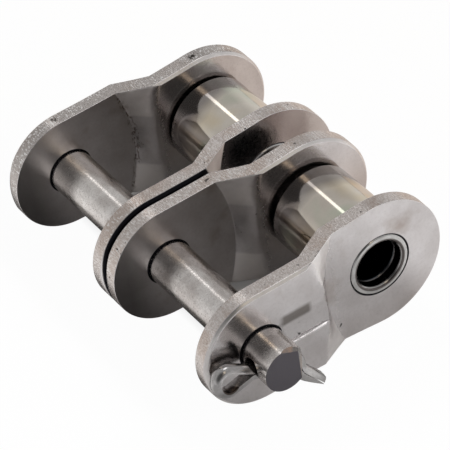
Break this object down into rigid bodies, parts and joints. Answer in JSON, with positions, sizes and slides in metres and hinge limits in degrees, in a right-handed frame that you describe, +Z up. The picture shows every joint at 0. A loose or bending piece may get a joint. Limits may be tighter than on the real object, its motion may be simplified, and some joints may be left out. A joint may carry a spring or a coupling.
{
  "type": "cranked chain connecting link",
  "caption": "Cranked connecting link for double-strand roller chain: stepped side plates on a long pin held by a split pin, with rollers turning on bushes at the narrow end.",
  "frame": {"origin": "on the bush axis, half way between the two strands, on the pitch line", "axes": "+X from the pin end towards the bush end along the pitch line, +Y along the pin from the split pin to the riveted end, +Z up"},
  "size_m": [0.0367, 0.0513, 0.018],
  "materials": {
    "plates": "satin, tumbled",
    "pin": "satin, fine speckle",
    "bushes": "semi-polished",
    "rollers": "mirror polished",
    "split_wire": "bright drawn"
  },
  "bodies": {
    "link_frame": {"far_outer_plate": "plates", "far_middle_plate": "plates", "near_middle_plate": "plates", "near_outer_plate": "plates", "long_pin": "pin", "far_bush": "bushes", "near_bush": "bushes", "split_pin": "split_wire"},
    "far_roller": {"far_roller": "rollers"},
    "near_roller": {"near_roller": "rollers"}
  },
  "joints": [
    {"name": "far_roller_spin", "type": "hinge", "parent": "link_frame", "child": "far_roller", "pos_m": [0, 0.01139, 0], "axis": [0, 1, 0], "continuous": true},
    {"name": "near_roller_spin", "type": "hinge", "parent": "link_frame", "child": "near_roller", "pos_m": [0, -0.01139, 0], "axis": [0, 1, 0], "continuous": true}
  ]
}
